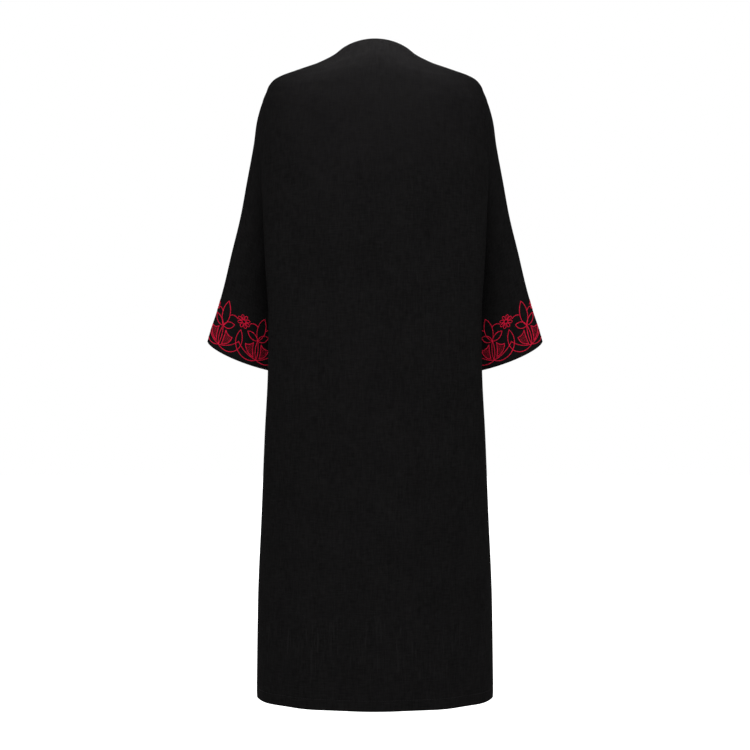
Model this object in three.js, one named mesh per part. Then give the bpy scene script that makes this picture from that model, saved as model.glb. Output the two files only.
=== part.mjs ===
// A long open-front coat (manteau) of thin cloth, filled out as it is when worn and held up at the shoulders.
// It is cut as one back, two fronts and two flared sleeves. Each piece is a closed wall of cloth.
// Millimetres, +Z up, +Y towards the wearer's back, +X towards the wearer's left.
// The origin lies midway between the two side neck points, where the shoulders carry the coat.

import * as THREE from "three";

// ---- Driving dimensions ----

const NAPE_RISE = 19; // centre of the back neck edge above the side neck points
const LENGTH = 1200; // nape to hem, straight down
const HEM_Z = NAPE_RISE - LENGTH;
const CLOTH = 1.5; // wall of one layer of cloth
const HEM_CLOTH = 2.6; // wall where the hem is turned up
const HEM_TURN = 20; // depth of the turned-up hem and cuffs
const FOLD_STEP = 2; // length over which the wall thickens at the turned-up edge
const SEAM_GAP = 0.3; // between two sewn pieces

const NECK_DEPTH = 250; // side neck point down to where the fronts meet
const NECK_START = 69; // half width of the neckline at its top
const NECK_CURVE = 1.12; // 1 is a straight V, more is hollower
const FRONT_GAP_TOP = 4; // between the two front edges where they meet
const FRONT_GAP_HEM = 30; // between the two front edges at the hem

const ARMHOLE = { z: -175, halfHeight: 112, y: 0, halfDepth: 53 };
const ARMHOLE_STEPS = 12; // rows of the body that the armhole spans
const ARMHOLE_WALL = 3; // the most that the armhole's cut edge may be across

const SLEEVE_CLEARANCE = 2.5; // the least between the sleeve and the body's side

const BACK_COLUMNS = 32;
const FRONT_COLUMNS = 16;
const SKIRT_STEP = 74; // height of a row below the armholes
// Back and fronts are each cut in one, but are modelled as two stretches that meet at these heights.
const BACK_SPLIT_Z = -396;
const FRONT_SPLIT_Z = -615;

// Rows of values as objects with named columns.
function table(columns, rows) {
  return rows.map((row) => Object.fromEntries(row.map((value, i) => [columns[i], value])));
}

// Body sections, from the neck edge down: height, half width, how far back the widest line lies, depth of
// the back and front from the shoulder line, squareness of the back and front halves (2 is an ellipse), how
// much higher the centre back is than the sides, and how far the cloth falls away between the two.
const BODY_SECTIONS = table(
  ["z", "halfWidth", "widest", "back", "front", "backSquare", "frontSquare", "lift", "fall"],
  [
    [0, 72.5, 0, 58, 30, 2.0, 2.0, NAPE_RISE, 0],
    [-7, 89.5, 0, 66, 33, 2.0, 2.1, 14, 7.5],
    [-15, 108, 0, 73, 37, 2.0, 2.2, 10, 10.5],
    [-22, 129, 0, 78, 41, 2.1, 2.2, 7, 13],
    [-29, 149.5, 0, 82, 45, 2.1, 2.3, 4, 14],
    [-37, 171.5, 0, 85.5, 49, 2.2, 2.3, 2, 14],
    [-44, 184.5, 0, 88, 53, 2.2, 2.4, 0, 12],
    [-52, 192.5, 0, 90, 57, 2.3, 2.4, 0, 9.5],
    [-63, 198.5, 0, 92.5, 63, 2.4, 2.4, 0, 6],
    [-100, 205.5, 8, 100, 80, 2.7, 2.4, 0, 0],
    [-175, 206.5, 24, 110, 106, 2.8, 2.3, 0, 0],
    [-240, 205.5, 38, 115.5, 119, 2.6, 2.2, 0, 0],
    [-300, 203.5, 44, 118, 123, 2.4, 2.1, 0, 0],
    [-390, 199.5, 45, 118, 121, 2.3, 2.0, 0, 0],
    [-480, 194, 44, 118, 118, 2.3, 2.0, 0, 0],
    [-575, 195, 38, 120, 118, 2.3, 2.0, 0, 0],
    [-700, 202, 22, 123, 121, 2.2, 2.1, 0, 0],
    [-850, 209, 8, 127, 126, 2.2, 2.1, 0, 0],
    [-1000, 216, 0, 131, 130, 2.1, 2.1, 0, 0],
    [HEM_Z, 218.5, 0, 134, 133, 2.1, 2.1, 0, 0],
  ],
);
const LIFT_SHARPNESS = 1.8; // how narrow the rise towards the nape is
const SHOULDER_ROWS = BODY_SECTIONS.filter((s) => s.z > ARMHOLE.z + ARMHOLE.halfHeight).map((s) => s.z);

// Soft hanging folds, the same on both sides: angle round from the centre back (180 is the centre front),
// half width of the fold in degrees, height where it starts, height where it is full, and how far it stands out.
const FOLDS = table(
  ["angle", "spread", "start", "full", "rise"],
  [
    [0, 15, -520, -1050, 1.5],
    [18, 12, -260, -1000, -1.7],
    [33, 12, -620, -1120, 1.8],
    [47, 11, -330, -1080, -1.7],
    [62, 12, -640, -1150, 1.5],
    [112, 12, -640, -1120, 4.0],
    [130, 12, -420, -1060, -4.0],
    [147, 12, -560, -1130, 4.0],
    [162, 9, -380, -1000, -3.0],
  ],
);

// Sleeve sections, from just outside the armhole to the cuff, left sleeve: the outer edge and the inner edge
// of the flattened tube, how far the cloth stands out from the line between them towards the back and the
// front, the turn of that line from side-on, how far the middle hangs below it at the back and the front, and
// the sharpness of the two edges (1 is an ellipse, more is a lens).
const SLEEVE_SECTIONS = table(
  ["outer", "inner", "back", "front", "turn", "sagBack", "sagFront", "edge"],
  [
    [[201, 0, -70], [202, -7, -291], 52, 54, 0, 0, 0, 1.0],
    [[208.5, 0, -88], [205, -14, -299], 51, 54, 2, 0, 0, 1.0],
    [[217.5, 0, -118], [204, -26, -314], 48, 53, 5, 0, 0, 1.0],
    [[224, -1, -163], [198, -41, -337], 43, 52, 9, 1, 1, 1.05],
    [[236, -3, -229], [187, -57, -367], 36, 51, 14, 3, 2, 1.1],
    [[248.5, -6, -296], [175, -72, -403], 32, 50, 19, 6, 3, 1.2],
    [[265, -9, -362], [163, -84, -443], 31, 49, 23, 10, 4, 1.3],
    [[281.5, -13, -429], [152, -94, -488], 32, 49, 25, 17, 5, 1.4],
    [[294.5, -16, -473], [144, -100, -524], 34, 50, 26, 22.5, 6, 1.5],
    [[305.5, -18, -505], [139, -104, -552], 36, 51, 26, 26, 6, 1.5],
    [[312, -20, -527], [136, -106, -573], 38, 52, 26, 28.5, 6, 1.5],
  ],
);
const SAG_SHARPNESS = 1.2; // 1 leaves a corner at the sleeve's two edges, 2 rounds it

const CLOTH_LOOK = new THREE.MeshStandardMaterial({ color: 0x161616, roughness: 0.9, metalness: 0 });
const SLEEVE_LOOK = new THREE.MeshStandardMaterial({ color: 0x131313, roughness: 0.9, metalness: 0 });

// ---- Small helpers ----

const radians = (degrees) => (degrees * Math.PI) / 180;
const HALF_TURN = Math.PI;
const QUARTER_TURN = Math.PI / 2;
const PROBE_HEIGHT = 0.5; // step up and down, for the direction of a surface
const PROBE_ANGLE = 0.004; // step round, in radians
const HALVINGS = 40; // steps of a search by halving

const smoothStep = (share) => {
  const s = Math.min(1, Math.max(0, share));
  return s * s * (3 - 2 * s);
};

// The value of one column between a table's rows, on a smooth curve that doesn't overshoot them.
function columnAt(rows, key, z) {
  const last = rows.length - 1;
  if (z >= rows[0].z) return rows[0][key];
  if (z <= rows[last].z) return rows[last][key];
  const i = rows.findIndex((row) => row.z < z) - 1;
  const slope = (j) => (rows[j + 1][key] - rows[j][key]) / (rows[j + 1].z - rows[j].z);
  const tangent = (j) => {
    if (j === 0 || j === last) return slope(Math.min(j, last - 1));
    const [before, after] = [slope(j - 1), slope(j)];
    return before * after <= 0 ? 0 : (2 * before * after) / (before + after);
  };
  const span = rows[i + 1].z - rows[i].z;
  const u = (z - rows[i].z) / span;
  return (
    rows[i][key] * (1 + 2 * u) * (1 - u) ** 2 +
    tangent(i) * span * u * (1 - u) ** 2 +
    rows[i + 1][key] * u * u * (3 - 2 * u) +
    tangent(i + 1) * span * u * u * (u - 1)
  );
}

// The angle between two limits where a falling function reaches a value.
function angleWhere(fallingFunction, value, from, to) {
  let [low, high] = [from, to];
  for (let step = 0; step < HALVINGS; step++) {
    const middle = (low + high) / 2;
    if (fallingFunction(middle) > value) low = middle;
    else high = middle;
  }
  return (low + high) / 2;
}

// ---- The body's outside ----

// A section without its folds: angle 0 is the centre back, a quarter turn is the widest line, half a turn is
// the centre front. A negative angle is on the wearer's right.
function plainBodyPoint(z, angle) {
  const at = (key) => columnAt(BODY_SECTIONS, key, z);
  const [sine, cosine] = [Math.sin(angle), Math.cos(angle)];
  const isBack = cosine >= 0;
  const square = isBack ? at("backSquare") : at("frontSquare");
  const depth = isBack ? at("back") - at("widest") : at("front") + at("widest");
  const reach = (Math.abs(sine) ** square + Math.abs(cosine) ** square) ** (-1 / square);
  return new THREE.Vector3(
    at("halfWidth") * sine * reach,
    at("widest") + depth * cosine * reach,
    z + (isBack ? at("lift") * cosine ** LIFT_SHARPNESS : 0) - at("fall") * (2 * sine * cosine) ** 2,
  );
}

// How far the folds stand out of the plain section.
function foldRise(z, angle) {
  const degrees = Math.abs((angle * 180) / Math.PI);
  let rise = 0;
  for (const fold of FOLDS) {
    const away = Math.abs(degrees - fold.angle) / fold.spread;
    if (away >= 1) continue;
    const grown = smoothStep((z - fold.start) / (fold.full - fold.start));
    rise += fold.rise * grown * Math.cos(away * QUARTER_TURN) ** 2;
  }
  return rise;
}

function normalOf(surface, z, angle) {
  const down = surface(z - PROBE_HEIGHT, angle).sub(surface(z + PROBE_HEIGHT, angle));
  const round = surface(z, angle + PROBE_ANGLE).sub(surface(z, angle - PROBE_ANGLE));
  return round.cross(down).normalize();
}

function bodyPoint(z, angle) {
  const rise = foldRise(z, angle);
  const point = plainBodyPoint(z, angle);
  return rise === 0 ? point : point.addScaledVector(normalOf(plainBodyPoint, z, angle), rise);
}

const angleAtY = (z, y) => angleWhere((angle) => plainBodyPoint(z, angle).y, y, 0, HALF_TURN);
const angleAtX = (z, x) => angleWhere((angle) => plainBodyPoint(z, angle).x, x, QUARTER_TURN, HALF_TURN);

// ---- Rows, seams and edges of the body ----

const armholeTop = ARMHOLE.z + ARMHOLE.halfHeight;
const armholeBottom = ARMHOLE.z - ARMHOLE.halfHeight;
const armholeTurn = (step) => (HALF_TURN * step) / ARMHOLE_STEPS; // 0 at the top, half a turn at the underarm
const armholeHeight = (turn) => ARMHOLE.z + ARMHOLE.halfHeight * Math.cos(turn);

// Heights of all rows of the body pieces, from the neck edge to the hem, with the turn of the armhole's rows.
function bodyRows() {
  const rows = SHOULDER_ROWS.map((z) => ({ z }));
  for (let step = 0; step <= ARMHOLE_STEPS; step++) {
    rows.push({ z: armholeHeight(armholeTurn(step)), turn: armholeTurn(step) });
  }
  const foldLine = HEM_Z + HEM_TURN;
  const skirtRows = Math.round((armholeBottom - foldLine) / SKIRT_STEP);
  for (let row = 1; row <= skirtRows; row++) {
    rows.push({ z: armholeBottom + ((foldLine - armholeBottom) * row) / skirtRows });
  }
  rows.push({ z: foldLine - FOLD_STEP }, { z: HEM_Z });
  return rows;
}

const isOpenArmhole = (row) => row.turn > 0 && row.turn < HALF_TURN;
const wallAt = (z) => (z < HEM_Z + HEM_TURN - FOLD_STEP / 2 ? HEM_CLOTH : CLOTH);

// The angle of the seam between back and front: shoulder seam, armhole edge or side seam.
function sideAngle(row, piece) {
  if (!isOpenArmhole(row)) return angleAtY(row.z, ARMHOLE.y);
  const depth = ARMHOLE.halfDepth * Math.sin(row.turn);
  return angleAtY(row.z, piece === "back" ? ARMHOLE.y + depth : ARMHOLE.y - depth);
}

// Half the width between the two front edges: the neckline's V, then a gap that opens towards the hem.
function frontEdgeX(z) {
  const vee = Math.max(0, 1 + z / NECK_DEPTH);
  const belowVee = Math.min(1, Math.max(0, (-NECK_DEPTH - z) / (-NECK_DEPTH - HEM_Z)));
  const gap = FRONT_GAP_TOP + (FRONT_GAP_HEM - FRONT_GAP_TOP) * belowVee;
  return gap / 2 + (NECK_START - FRONT_GAP_TOP / 2) * vee ** NECK_CURVE;
}

// ---- Walls of cloth ----

// A closed wall between an outer and an inner grid of points, given as rows of equally many points.
function wallGeometry(outer, inner, isTube) {
  const [rows, columns] = [outer.length, outer[0].length];
  const positions = [...outer.flat(), ...inner.flat()].flatMap((p) => [p.x, p.y, p.z]);
  const at = (layer, row, column) => (layer * rows + row) * columns + (column % columns);
  const indices = [];
  const quad = (a, b, c, d) => indices.push(a, b, c, a, c, d);
  const lastColumn = isTube ? columns : columns - 1;
  for (let row = 0; row < rows - 1; row++) {
    for (let column = 0; column < lastColumn; column++) {
      const [r, c] = [row + 1, column + 1];
      quad(at(0, row, column), at(0, r, column), at(0, r, c), at(0, row, c));
      quad(at(1, row, column), at(1, row, c), at(1, r, c), at(1, r, column));
    }
  }
  for (let column = 0; column < lastColumn; column++) {
    const c = column + 1;
    quad(at(0, 0, column), at(0, 0, c), at(1, 0, c), at(1, 0, column));
    quad(at(0, rows - 1, c), at(0, rows - 1, column), at(1, rows - 1, column), at(1, rows - 1, c));
  }
  if (!isTube) {
    for (let row = 0; row < rows - 1; row++) {
      const r = row + 1;
      quad(at(0, r, 0), at(0, row, 0), at(1, row, 0), at(1, r, 0));
      quad(at(0, row, lastColumn), at(0, r, lastColumn), at(1, r, lastColumn), at(1, row, lastColumn));
    }
  }
  const geometry = new THREE.BufferGeometry();
  geometry.setAttribute("position", new THREE.Float32BufferAttribute(positions, 3));
  geometry.setIndex(facingOut(positions, indices));
  geometry.computeVertexNormals();
  return geometry;
}

// The triangles turned round if the solid they enclose has a negative volume.
function facingOut(positions, indices) {
  const corner = (i) => new THREE.Vector3().fromArray(positions, indices[i] * 3);
  let volume = 0;
  for (let i = 0; i < indices.length; i += 3) {
    volume += corner(i).dot(corner(i + 1).cross(corner(i + 2)));
  }
  if (volume >= 0) return indices;
  const turned = [];
  for (let i = 0; i < indices.length; i += 3) turned.push(indices[i], indices[i + 2], indices[i + 1]);
  return turned;
}

// One body piece, from a start angle to an end angle on every row. An edge is sewn where it meets another
// piece, and then stands half a seam gap back from it, or open.
function bodyPiece(rows, startOf, endOf, columns, isSewn) {
  const [outer, inner] = [[], []];
  for (const row of rows) {
    const [start, end] = [startOf(row), endOf(row)];
    const [outerRow, innerRow] = [[], []];
    for (let column = 0; column <= columns; column++) {
      const angle = start + ((end - start) * column) / columns;
      const point = bodyPoint(row.z, angle);
      const normal = normalOf(bodyPoint, row.z, angle);
      const isStart = column === 0;
      const isEdge = isStart ? isSewn.start : column === columns && isSewn.end;
      const within = point.clone().addScaledVector(normal, -wallAt(row.z));
      if (row.z === HEM_Z) within.z = HEM_Z;
      if (isEdge && isOpenArmhole(row)) {
        const across = Math.min(ARMHOLE_WALL, CLOTH / Math.abs(normal.x));
        within.copy(point).setX(point.x - Math.sign(point.x) * across);
      } else if (isEdge) {
        const beyond = bodyPoint(row.z, angle + PROBE_ANGLE);
        const along = beyond.sub(bodyPoint(row.z, angle - PROBE_ANGLE)).normalize();
        const back = ((isStart ? 1 : -1) * Math.sign(end - start) * SEAM_GAP) / 2;
        point.addScaledVector(along, back);
        within.addScaledVector(along, back);
      }
      outerRow.push(point);
      innerRow.push(within);
    }
    outer.push(outerRow);
    inner.push(innerRow);
  }
  return wallGeometry(outer, inner, false);
}

const rowsAbove = (z) => [...bodyRows().filter((row) => row.z > z), { z: z + SEAM_GAP / 2 }];
const rowsBelow = (z) => [{ z: z - SEAM_GAP / 2 }, ...bodyRows().filter((row) => row.z < z)];

function backPiece(rows) {
  const side = (row) => sideAngle(row, "back");
  return bodyPiece(rows, (row) => -side(row), side, BACK_COLUMNS, { start: true, end: true });
}

function frontPiece(rows, sign) {
  const side = (row) => sign * sideAngle(row, "front");
  const edge = (row) => sign * angleAtX(row.z, frontEdgeX(row.z));
  return bodyPiece(rows, side, edge, FRONT_COLUMNS, { start: true, end: false });
}

// ---- Sleeves ----

// The sleeve's first ring: the armhole's own edge, drawn in by a seam gap.
function armholeRing(points) {
  const ring = [];
  for (let i = 0; i < points; i++) {
    const turn = (2 * HALF_TURN * i) / points;
    const z = ARMHOLE.z + (ARMHOLE.halfHeight - SEAM_GAP) * Math.cos(turn);
    const y = ARMHOLE.y + (ARMHOLE.halfDepth - SEAM_GAP) * Math.sin(turn);
    ring.push(plainBodyPoint(z, angleAtY(z, y)));
  }
  return ring;
}

// A point of the sleeve that would sink into the body's side, moved out until it rests beside it.
function besideBody(point) {
  const side = plainBodyPoint(point.z, angleAtY(point.z, point.y)).x + SLEEVE_CLEARANCE;
  return point.setX(Math.max(point.x, side));
}

// One ring of the sleeve: turn 0 is its outer edge, a quarter turn its back, half a turn its inner edge.
function sleeveRing(section, points) {
  const outer = new THREE.Vector3(...section.outer);
  const inner = new THREE.Vector3(...section.inner);
  const centre = outer.clone().add(inner).multiplyScalar(0.5);
  const halfSpan = outer.clone().sub(inner).multiplyScalar(0.5);
  const turn = radians(section.turn);
  const towardsBack = new THREE.Vector3(-Math.sin(turn), Math.cos(turn), 0);
  const ring = [];
  for (let i = 0; i < points; i++) {
    const angle = (2 * HALF_TURN * i) / points;
    const [cosine, sine] = [Math.cos(angle), Math.sin(angle)];
    const depth = sine >= 0 ? section.back : section.front;
    const sag = (sine >= 0 ? section.sagBack : section.sagFront) * Math.abs(sine) ** SAG_SHARPNESS;
    const out = Math.sign(sine) * Math.abs(sine) ** section.edge * depth;
    const point = centre.clone().addScaledVector(halfSpan, cosine).addScaledVector(towardsBack, out);
    point.z -= sag;
    ring.push(besideBody(point));
  }
  return ring;
}

// The rings moved up along the sleeve from the cuff by a short length, for the turned-up edge.
function ringAbove(cuff, above, length) {
  return cuff.map((point, i) => {
    const along = above[i].clone().sub(point).normalize();
    return point.clone().addScaledVector(along, length);
  });
}

function sleeveRings() {
  const points = 2 * ARMHOLE_STEPS;
  const rings = [armholeRing(points), ...SLEEVE_SECTIONS.map((section) => sleeveRing(section, points))];
  const [above, cuff] = rings.slice(-2);
  const foldRing = ringAbove(cuff, above, HEM_TURN);
  const thickRing = ringAbove(cuff, above, HEM_TURN - FOLD_STEP);
  return [...rings.slice(0, -2), foldRing, thickRing, cuff];
}

function sleevePiece(sign) {
  const outer = sleeveRings();
  const last = outer.length - 1;
  const around = (i) => (i + outer[0].length) % outer[0].length;
  const inner = outer.map((ring, row) =>
    ring.map((point, i) => {
      const along = outer[Math.min(last, row + 1)][i].clone().sub(outer[Math.max(0, row - 1)][i]);
      const round = ring[around(i + 1)].clone().sub(ring[around(i - 1)]);
      const normal = along.cross(round).normalize();
      return point.clone().addScaledVector(normal, row > last - 2 ? -HEM_CLOTH : -CLOTH);
    }),
  );
  const mirrored = (rings) => rings.map((ring) => ring.map((p) => new THREE.Vector3(sign * p.x, p.y, p.z)));
  return wallGeometry(mirrored(outer), mirrored(inner), true);
}

// ---- The coat ----

function namedMesh(name, geometry, material) {
  const mesh = new THREE.Mesh(geometry, material);
  mesh.name = name;
  return mesh;
}

const coat = new THREE.Group();
coat.add(namedMesh("back_upper", backPiece(rowsAbove(BACK_SPLIT_Z)), CLOTH_LOOK));
coat.add(namedMesh("back_lower", backPiece(rowsBelow(BACK_SPLIT_Z)), CLOTH_LOOK));
for (const [name, sign] of [["left", 1], ["right", -1]]) {
  coat.add(namedMesh(`front_${name}_upper`, frontPiece(rowsAbove(FRONT_SPLIT_Z), sign), CLOTH_LOOK));
  coat.add(namedMesh(`front_${name}_lower`, frontPiece(rowsBelow(FRONT_SPLIT_Z), sign), CLOTH_LOOK));
  coat.add(namedMesh(`sleeve_${name}`, sleevePiece(sign), SLEEVE_LOOK));
}

export default coat;
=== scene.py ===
"""A long open-front coat of black cloth with red embroidered cuffs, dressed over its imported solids."""

import math
from collections import namedtuple

import bpy
import numpy as np
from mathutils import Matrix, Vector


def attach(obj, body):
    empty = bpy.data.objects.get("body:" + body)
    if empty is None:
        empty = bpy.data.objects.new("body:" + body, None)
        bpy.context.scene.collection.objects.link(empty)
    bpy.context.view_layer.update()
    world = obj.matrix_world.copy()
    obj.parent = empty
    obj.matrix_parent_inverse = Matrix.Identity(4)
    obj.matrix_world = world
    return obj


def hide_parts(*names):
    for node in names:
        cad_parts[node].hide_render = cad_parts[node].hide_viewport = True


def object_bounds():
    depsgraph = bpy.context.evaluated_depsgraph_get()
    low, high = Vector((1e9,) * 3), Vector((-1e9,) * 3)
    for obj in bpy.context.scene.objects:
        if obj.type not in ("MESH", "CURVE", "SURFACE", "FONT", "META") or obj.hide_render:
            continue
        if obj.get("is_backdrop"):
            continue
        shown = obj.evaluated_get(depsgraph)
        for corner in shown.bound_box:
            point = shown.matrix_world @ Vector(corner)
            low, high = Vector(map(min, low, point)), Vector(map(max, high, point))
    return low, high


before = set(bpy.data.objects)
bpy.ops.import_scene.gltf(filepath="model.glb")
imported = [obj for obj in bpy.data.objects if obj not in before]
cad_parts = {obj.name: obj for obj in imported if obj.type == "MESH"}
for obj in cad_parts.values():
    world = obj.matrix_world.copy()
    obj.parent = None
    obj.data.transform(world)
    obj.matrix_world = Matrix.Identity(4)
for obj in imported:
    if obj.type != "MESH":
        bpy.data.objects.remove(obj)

bl_info = {
    "name": "Open-front coat",
    "version": (1, 0, 0),
    "blender": (4, 5, 0),
    "location": "3D View > Sidebar > Coat",
    "description": "Makes a long coat of thin cloth, its sewing, its embroidered cuffs and a plain studio",
    "category": "Object",
}

# ---- The coat's form, in metres: +Z up, +Y towards the wearer's back, +X towards the wearer's left ----

NAPE_RISE = 0.019  # centre of the back neck edge above the side neck points
LENGTH = 1.2  # nape to hem, straight down
HEM_Z = NAPE_RISE - LENGTH
LIFT_SHARPNESS = 1.8  # how narrow the rise towards the nape is
SAG_SHARPNESS = 1.1  # 1 leaves a corner at the sleeve's two edges, 2 rounds it

NECK_DEPTH = 0.25  # side neck point down to where the fronts meet
NECK_START = 0.069  # half width of the neckline at its top
NECK_CURVE = 1.12  # 1 is a straight V, more is hollower
FRONT_GAP_TOP = 0.004
FRONT_GAP_HEM = 0.030

ARMHOLE_Z = -0.175
ARMHOLE_HALF_HEIGHT = 0.112
ARMHOLE_HALF_DEPTH = 0.053
SEAM_LAP = 0.0002  # how far two sewn edges lap, so that no light shows through the seam
SLEEVE_CLOTH = 1.5  # how far along the bolt the sleeves are cut
SLEEVE_CLEARANCE = 0.0025  # the least between the sleeve and the body's side
CLEARANCE_START = 0.02  # how far down the sleeve that clearance is reached
UNDERARM_RADIUS = 0.06  # of the sleeve, for the width of its underarm seam

# From the neck edge down: height, half width, how far back the widest line lies, depth of the back and front
# from the shoulder line, squareness of the two halves (2 is an ellipse), how much higher the centre back is
# than the sides, and how far the cloth falls away between the two.
BODY_COLUMNS = (
    "z", "half_width", "widest", "back", "front", "back_square", "front_square", "lift", "fall",
)
BODY_SECTIONS = (
    (0, 0.0725, 0, 0.058, 0.03, 2, 2, NAPE_RISE, 0),
    (-0.007, 0.0895, 0, 0.066, 0.033, 2, 2.1, 0.014, 0.0075),
    (-0.015, 0.108, 0, 0.073, 0.037, 2, 2.2, 0.01, 0.0105),
    (-0.022, 0.129, 0, 0.078, 0.041, 2.1, 2.2, 0.007, 0.013),
    (-0.029, 0.1495, 0, 0.082, 0.045, 2.1, 2.3, 0.004, 0.014),
    (-0.037, 0.1715, 0, 0.0855, 0.049, 2.2, 2.3, 0.002, 0.014),
    (-0.044, 0.1845, 0, 0.088, 0.053, 2.2, 2.4, 0, 0.012),
    (-0.052, 0.1925, 0, 0.09, 0.057, 2.3, 2.4, 0, 0.0095),
    (-0.063, 0.1985, 0, 0.0925, 0.063, 2.4, 2.4, 0, 0.006),
    (-0.1, 0.2055, 0.008, 0.1, 0.08, 2.7, 2.4, 0, 0),
    (-0.175, 0.2065, 0.024, 0.11, 0.106, 2.8, 2.3, 0, 0),
    (-0.24, 0.2055, 0.038, 0.1155, 0.119, 2.6, 2.2, 0, 0),
    (-0.3, 0.2035, 0.044, 0.118, 0.123, 2.4, 2.1, 0, 0),
    (-0.39, 0.1995, 0.045, 0.118, 0.121, 2.3, 2, 0, 0),
    (-0.48, 0.194, 0.044, 0.118, 0.118, 2.3, 2, 0, 0),
    (-0.575, 0.195, 0.038, 0.12, 0.118, 2.3, 2, 0, 0),
    (-0.7, 0.202, 0.022, 0.123, 0.121, 2.2, 2.1, 0, 0),
    (-0.85, 0.209, 0.008, 0.127, 0.126, 2.2, 2.1, 0, 0),
    (-1, 0.216, 0, 0.131, 0.13, 2.1, 2.1, 0, 0),
    (HEM_Z, 0.2185, 0, 0.134, 0.133, 2.1, 2.1, 0, 0),
)

# Hanging folds, the same on both sides: degrees round from the centre back (180 is the centre front), half
# width in degrees, height where it starts and is full, and how far it stands out. They run on past the hem.
FOLDS = (
    (0, 15, -0.52, -1.05, 0.0015),
    (18, 12, -0.26, -1, -0.0017),
    (33, 12, -0.62, -1.12, 0.0018),
    (47, 11, -0.33, -1.08, -0.0017),
    (62, 12, -0.64, -1.15, 0.0015),
    (112, 12, -0.64, -1.12, 0.004),
    (130, 12, -0.42, -1.06, -0.004),
    (147, 12, -0.56, -1.13, 0.004),
    (162, 9, -0.38, -1, -0.003),
)
FOLD_END = (-1.4, -1.5)  # where they would fade and be gone, both below the hem

# Finer creases: as above, and also the heights where one begins to fade and is gone, and after how far it
# stands out, how many degrees it leans over its length.
CREASES = (
    (11, 3.5, -0.35, -0.52, -0.86, -1.12, -0.0009, 1),
    (17, 4, -0.18, -0.34, -0.56, -0.78, 0.0008, 2),
    (26, 3.5, -0.22, -0.45, -0.72, -0.98, -0.0012, -2),
    (38, 3, -0.7, -0.86, -0.98, -1.16, 0.0009, 1),
    (43, 4, -0.14, -0.3, -0.6, -0.8, -0.0012, 3),
    (20, 1.2, -0.99, -1.02, -1.06, -1.1, 0.0006, 0),
    (24, 1.3, -1.03, -1.06, -1.1, -1.13, -0.0004, 1),
    (28.5, 1.4, -0.96, -1.0, -1.07, -1.13, 0.0008, 0.5),
    (35, 1.2, -1.0, -1.04, -1.08, -1.12, 0.0005, -0.5),
    (52, 3, -0.42, -0.6, -0.86, -1.05, 0.0009, -2),
    (118, 4, -0.2, -0.36, -0.62, -0.85, -0.0012, 4),
    (138, 4, -0.24, -0.5, -0.78, -1.0, 0.0012, -3),
    (154, 3, -0.7, -0.85, -1.0, -1.15, -0.0009, 2),
    (168, 2.5, -0.46, -0.62, -0.9, -1.08, 0.0008, 1),
)

# The left sleeve from just outside the armhole to the cuff: outer edge and inner edge of the flattened tube,
# how far the cloth stands out from the line between them towards the back and the front, the turn of that
# line from side-on in degrees, how far the middle hangs below it at the back and the front, and the sharpness
# of the two edges (1 is an ellipse, more is a lens).
SLEEVE_COLUMNS = ("outer", "inner", "back", "front", "turn", "sag_back", "sag_front", "edge")
SLEEVE_SECTIONS = (
    ((0.201, 0, -0.07), (0.202, -0.007, -0.291), 0.052, 0.054, 0, 0, 0, 1),
    ((0.2085, 0, -0.088), (0.205, -0.014, -0.299), 0.051, 0.054, 2, 0, 0, 1),
    ((0.2175, 0, -0.118), (0.204, -0.026, -0.314), 0.048, 0.053, 5, 0, 0, 1),
    ((0.224, -0.001, -0.163), (0.198, -0.041, -0.337), 0.043, 0.052, 9, 0.001, 0.001, 1.05),
    ((0.236, -0.003, -0.229), (0.187, -0.057, -0.367), 0.036, 0.051, 14, 0.003, 0.002, 1.1),
    ((0.2485, -0.006, -0.296), (0.175, -0.072, -0.403), 0.032, 0.05, 19, 0.006, 0.003, 1.2),
    ((0.265, -0.009, -0.362), (0.163, -0.084, -0.443), 0.031, 0.049, 23, 0.01, 0.004, 1.3),
    ((0.2815, -0.013, -0.429), (0.152, -0.094, -0.488), 0.032, 0.049, 25, 0.017, 0.005, 1.4),
    ((0.2945, -0.016, -0.473), (0.144, -0.1, -0.524), 0.034, 0.05, 26, 0.0225, 0.006, 1.5),
    ((0.3055, -0.018, -0.505), (0.139, -0.104, -0.552), 0.036, 0.051, 26, 0.026, 0.006, 1.5),
    ((0.312, -0.02, -0.527), (0.136, -0.106, -0.573), 0.038, 0.052, 26, 0.0285, 0.006, 1.5),
)

# Soft creases of a sleeve: degrees round the ring (0 is the outer edge, 90 the back), half width in degrees,
# share of the sleeve's length where it starts and ends, how far it stands out, and its lean in degrees.
SLEEVE_CREASES = (
    (118, 16, 0.22, 0.62, -0.0016, -30),
    (82, 14, 0.34, 0.72, 0.0012, -24),
    (58, 12, 0.45, 0.86, -0.0010, -16),
    (132, 12, 0.55, 0.9, 0.0012, -14),
    (228, 16, 0.2, 0.6, -0.0016, 28),
    (262, 14, 0.38, 0.8, 0.0014, 22),
    (306, 12, 0.5, 0.88, -0.0010, 14),
)

# ---- Cloth, seams and turnings ----

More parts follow.
